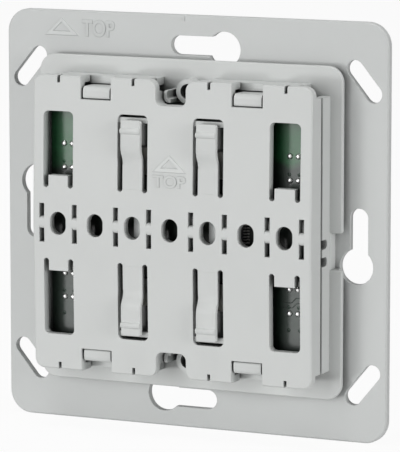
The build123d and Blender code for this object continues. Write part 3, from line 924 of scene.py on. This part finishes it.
class INSERT_OT_dress_board(Operator):
    """Put solder domes, vias and tracks on the circuit board"""

    bl_idname = "insert.dress_board"
    bl_label = "Dress board"

    # Tinned pads under each outer window, and the vias by them, in pitches of the pads from their middle
    pad_diameter = 1.0 * MM
    pad_pitch_x = 1.5 * MM
    pad_pitch_z = 4.1 * MM
    pad_steps = ((-0.5, -0.5), (-0.5, 0.5), (0.5, -0.5), (0.5, 0.5))
    via_steps = ((-0.6, -0.25), (0.6, -0.25), (-0.6, -1.2), (0.75, -1.2))
    via_rise = 0.08 * MM
    via_rings = 6
    # Dark dome of painted shade that stands for a via's hole: its diameter as a share of the ring's, and
    # its height.
    # Its foot stands as high over the board.
    hole_shade_share = 0.45
    hole_shade_rise = 0.06 * MM
    # Bend of the first track from the middle of the pads, and the step to the next, in track pitches
    track_pitch = 0.85 * MM
    track_bend = (-0.5, -0.3)
    track_step = (0.2, -1.0)
    track_reach = 1.65 * MM
    track_rise = 0.06 * MM
    track_count = 2
    # How much lighter raised copper is than the lacquer over poured copper and over the bare board
    mask_lift = 1.3
    bare_lift = 2.2

    def execute(self, context):
        board = context.scene.insert_board
        domes = dome_tree()
        tracks = track_tree()
        mask = tinted(board.mask_colour, self.mask_lift)
        bare = tinted(board.bare_colour, self.bare_lift)

        tin = solder_finish("bright solder", (0.8, 0.8, 0.79), roughness=0.26)
        pads = points_mesh("pads", self.laid_out(self.pad_steps))
        sizes = {"Diameter": self.pad_diameter, "Height": board.solder_height, "Rings": board.dome_rings}
        solder = piece_of("solder_domes", domes.grown("solder_domes", pads, tin, sizes), tin)
        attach(solder, "module")
        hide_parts("solder_pads")

        ring = solder_mask_finish("via ring", mask, bare)
        places = list(self.laid_out(self.via_steps))
        sizes = {"Diameter": board.via_diameter, "Height": self.via_rise, "Rings": self.via_rings}
        rings = domes.grown("via_rings", points_mesh("vias", places), ring, sizes)
        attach(piece_of("via_rings", rings, ring), "module")

        # Painted shade: a near-black dome stands for the dark inside each via's hole
        hole = dark_plastic_finish("via hole", (0.012, 0.016, 0.013), roughness=0.5)
        places = [place - Vector((0, self.hole_shade_rise, 0)) for place in places]
        diameter = board.via_diameter * self.hole_shade_share
        sizes = {"Diameter": diameter, "Height": self.hole_shade_rise, "Rings": self.via_rings}
        painted_hole_shades = domes.grown("via_holes", points_mesh("via_centres", places), hole, sizes)
        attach(piece_of("via_holes", painted_hole_shades, hole), "module")

        copper = solder_mask_finish("masked copper", mask, bare)
        sizes = {"Width": board.track_width, "Rise": self.track_rise}
        strips = tracks.grown("copper_tracks", lines_mesh("tracks", self.tracks()), copper, sizes)
        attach(piece_of("copper_tracks", strips, copper), "module")
        return {"FINISHED"}

    def middles(self):
        """Middle of the pads under each outer window, by its side and its half."""
        reach_x = PADS_HIGH.x - self.pad_diameter / 2 - self.pad_pitch_x / 2
        reach_z = PADS_HIGH.z - self.pad_diameter / 2 - self.pad_pitch_z / 2
        corners = [(side, up) for side in (-1, 1) for up in (-1, 1)]
        return {(side, up): Vector((side * reach_x, BOARD_FRONT, up * reach_z)) for side, up in corners}

    def laid_out(self, steps):
        """Points under every outer window, at steps of the pads' pitches from the middle."""
        for middle in self.middles().values():
            for x, z in steps:
                yield middle + Vector((x * self.pad_pitch_x, 0, z * self.pad_pitch_z))

    def tracks(self):
        """Tracks side by side under the lower right window, with a bend at 45 degrees."""
        middle = self.middles()[1, -1]
        lane = self.track_pitch
        straight = Vector((self.track_reach, 0, 0))
        for step in range(self.track_count):
            x, z = [first + each * step for first, each in zip(self.track_bend, self.track_step)]
            low = middle + Vector((x * lane, 0, z * lane))
            high = low + Vector((lane, 0, lane))
            yield (low - straight, low, high, high + straight)


class INSERT_OT_mould_marks(Operator):
    """Mould the triangles and words that show the upper side, and the gate mark"""

    bl_idname = "insert.mould_marks"
    bl_label = "Mould marks"

    # Lower left corner of each mark in the front view, its width and its height
    triangles = {
        "plate": (Vector((-28.35, 31.1)) * MM, 6.6 * MM, 3.15 * MM),
        "cover": (Vector((-3.35, 9.75)) * MM, 6.5 * MM, 3.05 * MM),
    }
    words = {
        "plate": (Vector((-21.2, 31.05)) * MM, 6.3 * MM, 3.0 * MM),
        "cover": (Vector((-3.2, 7.15)) * MM, 6.2 * MM, 2.2 * MM),
    }
    upper_side = "TOP"
    # Width of the slanted sides of the letters, as a share of the font's size
    letter_slope = 0.045
    # Band below the cover's upper edge in which the depth of its front is read
    edge_band = 0.3 * MM
    gate_width = 0.4 * MM
    gate_height = 0.75 * MM
    gate_x = -1.9 * MM
    # Distance of the gate mark's middle from the plate's edge in its heights, and its bevel in its reliefs
    gate_inset = 0.9
    gate_bevel = 0.3

    def execute(self, context):
        marks = context.scene.insert_mark
        moulding = context.scene.insert_moulding
        places = (
            ("plate", PLATE_FRONT, 0.0, moulding.plate_colour, "plate_grey"),
            ("cover", COVER_RIDGE, self.cover_lean(), moulding.housing_colour, "housing_grey"),
        )
        for where, front, lean, colour, slot in places:
            triangle = self.triangle_mesh(f"{where}_triangle", self.triangles[where], marks)
            word = self.word_mesh(f"{where}_word", self.words[where], marks)
            # Triangles get a painted highlight and words a painted shade against the face round them
            for mesh, painted_tone in ((triangle, marks.triangle_painted_highlight), (word, marks.word_painted_shade)):
                self.set_on(mesh, front, lean)
                shade = tinted(colour, painted_tone)
                material = mark_finish(f"{mesh.name} finish", shade, marks.painted_side_shade, moulding)
                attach(piece_of(mesh.name, mesh, material), "module")
        gate = self.gate_mesh(marks)
        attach(piece_of("gate_mark", gate, material_named("plate grey")), "module")
        return {"FINISHED"}

    def cover_lean(self):
        """How far the cover's front falls back with each metre of height."""
        top = COVER_HIGH.z - self.edge_band
        edge = min(v.co.y for v in frame["nodes"]["cover"].data.vertices if v.co.z > top)
        return (edge - COVER_RIDGE) / COVER_HIGH.z

    def set_on(self, mesh, front, lean):
        """Moves a mark made in the front view onto a face that leans back with height."""
        for vertex in mesh.vertices:
            vertex.co.y += front + lean * vertex.co.z

    def triangle_mesh(self, name, place, marks):
        """Closed raised band along a triangle, with slanted sides."""
        corner, width, height = place
        outer = [corner, corner + Vector((width, 0)), corner + Vector((width / 2, height))]
        centre = corner + Vector((width, height)) / 2
        steps = (
            (0, 0),
            (marks.slope, -marks.relief),
            (marks.band - marks.slope, -marks.relief),
            (marks.band, 0),
        )

        def build(form):
            rings = []
            for inset, y in steps:
                share = 1 - inset * 2 / height
                ring = [centre + (point - centre) * share for point in outer]
                rings.append([form.verts.new((point.x, y, point.y)) for point in ring])
            for step in range(len(outer)):
                after = (step + 1) % len(outer)
                for first, second in zip(rings, rings[1:] + rings[:1]):
                    form.faces.new((first[step], first[after], second[after], second[step]))

        return mesh_of(name, build)

    def word_mesh(self, name, place, marks):
        """Raised letters with slanted sides, fitted to a width and a height."""
        corner, width, height = place
        text = bpy.data.curves.new(name, "FONT")
        text.body = self.upper_side
        text.bevel_depth = self.letter_slope
        carrier = placed(name + "_text", text)
        letters = bpy.data.meshes.new_from_object(carrier)
        bpy.data.objects.remove(carrier)
        xs = [v.co.x for v in letters.vertices]
        ys = [v.co.y for v in letters.vertices]
        size = Vector((max(xs) - min(xs), max(ys) - min(ys)))
        for vertex in letters.vertices:
            x = corner.x + (vertex.co.x - min(xs)) * width / size.x
            z = corner.y + (vertex.co.y - min(ys)) * height / size.y
            vertex.co = (x, -vertex.co.z / self.letter_slope * marks.relief, z)

        def build(form):
            take_in(form, letters)

        return mesh_of(name, build)

    def gate_mesh(self, marks):
        """Small bevelled block below the plate's upper edge."""
        height = PLATE_HIGH.z - self.gate_height * self.gate_inset
        place = (self.gate_x, PLATE_FRONT - marks.relief / 2, height)
        bevel = marks.relief * self.gate_bevel

        def build(form):
            bmesh.ops.create_cube(form, size=1.0)
            size = Vector((self.gate_width, marks.relief, self.gate_height))
            bmesh.ops.scale(form, vec=size, verts=form.verts)
            bmesh.ops.translate(form, vec=place, verts=form.verts)
            bmesh.ops.bevel(form, geom=form.edges[:], offset=bevel, segments=1, affect="EDGES")

        return mesh_of("gate_mark", build)


class INSERT_OT_set_stage(Operator):
    """Set the floor, the light and the camera"""

    bl_idname = "insert.set_stage"
    bl_label = "Set stage"

    floor_reach = 4.0
    floor_greys = ((0.7, 0.7, 0.7, 1), (0.74, 0.74, 0.74, 1))
    floor_mottle = 0.4
    # Share of plain white in the floor as the camera sees it, beside its lit grey
    floor_white = 0.94
    lamp_distance = 1.2
    clip_start = 0.01
    target = Vector((0.505, 0, -0.624)) * MM

    def execute(self, context):
        stage = context.scene.insert_stage
        self.lay_floor()
        self.fill_world(context, stage)
        self.hang_lamps(stage)
        self.set_camera(context, stage)
        context.scene.view_settings.view_transform = "Standard"
        return {"FINISHED"}

    def seen(self, graph):
        """One on rays that show the background, in the picture or in a reflection."""
        names = ("Is Camera Ray", "Is Glossy Ray", "Is Transmission Ray")
        camera, glossy, clear = [graph.node("ShaderNodeLightPath", output=name) for name in names]
        return graph.node("ShaderNodeMath", {"operation": "MINIMUM"}, {0: camera + glossy + clear, 1: 1.0})

    def lay_floor(self):
        """Pale floor under the plate, which looks nearly white and casts no shadow itself."""

        def build(form):
            bmesh.ops.create_grid(form, x_segments=1, y_segments=1, size=self.floor_reach)
            bmesh.ops.translate(form, vec=(0, 0, PLATE_LOW.z), verts=form.verts)

        finish = Finish("pale floor", {"Roughness": 0.9})
        finish.shade(base_color=finish.mix(finish.noise(self.floor_mottle), *self.floor_greys))
        glow = finish.node("ShaderNodeEmission", {}, {"Color": WHITE, "Strength": 1.0})
        lit = Field(finish, finish.surface.outputs[0])
        white = self.seen(finish) * self.floor_white
        shown = finish.node("ShaderNodeMixShader", {}, {0: white, 1: lit, 2: glow})
        finish.feed(finish.tree.nodes["Material Output"].inputs["Surface"], shown)
        floor = placed("floor", mesh_of("floor", build))
        dress(floor.data, finish.material)
        floor.visible_shadow = False

    def fill_world(self, context, stage):
        """Weak light from all round, and white where the background is seen."""
        world = bpy.data.worlds.new("white room")
        world.use_nodes = True
        context.scene.world = world
        graph = Graph(world.node_tree)
        background = world.node_tree.nodes["Background"]
        graph.feed(background.inputs["Color"], WHITE)
        graph.feed(background.inputs["Strength"], between(self.seen(graph), stage.ambient, 1.0))

    def hang_lamps(self, stage):
        """Round lamps at one distance, whose full light shows a white face turned to them as white."""
        # Name, azimuth and elevation in degrees, diameter in metres, level
        lamps = (
            ("key_lamp", -27, -7, 0.2, stage.key_level),
            ("front_lamp", -20, 10, 0.9, stage.front_level),
            ("side_lamp", 78, 8, 0.45, stage.side_level),
            ("top_lamp", -30, 86, 0.4, stage.top_level),
        )
        for name, azimuth, elevation, size, level in lamps:
            data = bpy.data.lights.new(name, "AREA")
            data.shape = "DISK"
            data.size = size
            data.energy = level * (math.pi * self.lamp_distance) ** 2
            away = self.direction(math.radians(azimuth), math.radians(elevation))
            self.aim(placed(name, data), Vector(), away, self.lamp_distance)

    def set_camera(self, context, stage):
        """Camera at the viewing angle, with its focal length taken from the picture's pixels."""
        data = bpy.data.cameras.new("camera")
        data.sensor_width = SENSOR
        data.lens = stage.focal_pixels * SENSOR / IMAGE_HEIGHT
        data.clip_start = self.clip_start
        camera = placed("camera", data)
        away = self.direction(stage.azimuth, stage.elevation)
        self.aim(camera, self.target, away, stage.distance)
        context.scene.camera = camera

    def direction(self, azimuth, elevation):
        """Unit vector to the right of the front by one angle and upwards by another."""
        flat = math.cos(elevation)
        return Vector((math.sin(azimuth) * flat, -math.cos(azimuth) * flat, math.sin(elevation)))

    def aim(self, thing, target, away, distance):
        """Puts a lamp or the camera at a distance from a point and turns it towards that point."""
        thing.location = target + away * distance
        thing.rotation_euler = (-away).to_track_quat("-Z", "Y").to_euler()


class INSERT_PT_sidebar(Panel):
    """Lists the steps and the settings"""

    bl_idname = "INSERT_PT_sidebar"
    bl_label = "Push-button insert"
    bl_space_type = "VIEW_3D"
    bl_region_type = "UI"
    bl_category = "Insert"

    def draw(self, context):
        for step in OPERATORS:
            self.layout.operator(step.bl_idname)
        for place, group in SETTINGS.items():
            box = self.layout.box()
            box.label(text=group.__doc__)
            for name in group.__annotations__:
                box.prop(getattr(context.scene, place), name)


OPERATORS = (
    INSERT_OT_finish_mouldings,
    INSERT_OT_finish_electrics,
    INSERT_OT_make_tongues,
    INSERT_OT_make_domes,
    INSERT_OT_dress_board,
    INSERT_OT_mould_marks,
    INSERT_OT_set_stage,
)
SETTINGS = {
    "insert_moulding": MouldingSettings,
    "insert_board": BoardSettings,
    "insert_mark": MarkSettings,
    "insert_stage": StageSettings,
}


def register():
    for place, group in SETTINGS.items():
        bpy.utils.register_class(group)
        setattr(bpy.types.Scene, place, PointerProperty(type=group))
    for step in OPERATORS:
        bpy.utils.register_class(step)
    bpy.utils.register_class(INSERT_PT_sidebar)


def unregister():
    bpy.utils.unregister_class(INSERT_PT_sidebar)
    for step in reversed(OPERATORS):
        bpy.utils.unregister_class(step)
    for place, group in SETTINGS.items():
        delattr(bpy.types.Scene, place)
        bpy.utils.unregister_class(group)


def main():
    register()
    bpy.ops.insert.finish_mouldings()
    bpy.ops.insert.finish_electrics()
    bpy.ops.insert.make_tongues()
    bpy.ops.insert.make_domes()
    bpy.ops.insert.dress_board()
    bpy.ops.insert.mould_marks()
    bpy.ops.insert.set_stage()


if __name__ == "__main__":
    main()
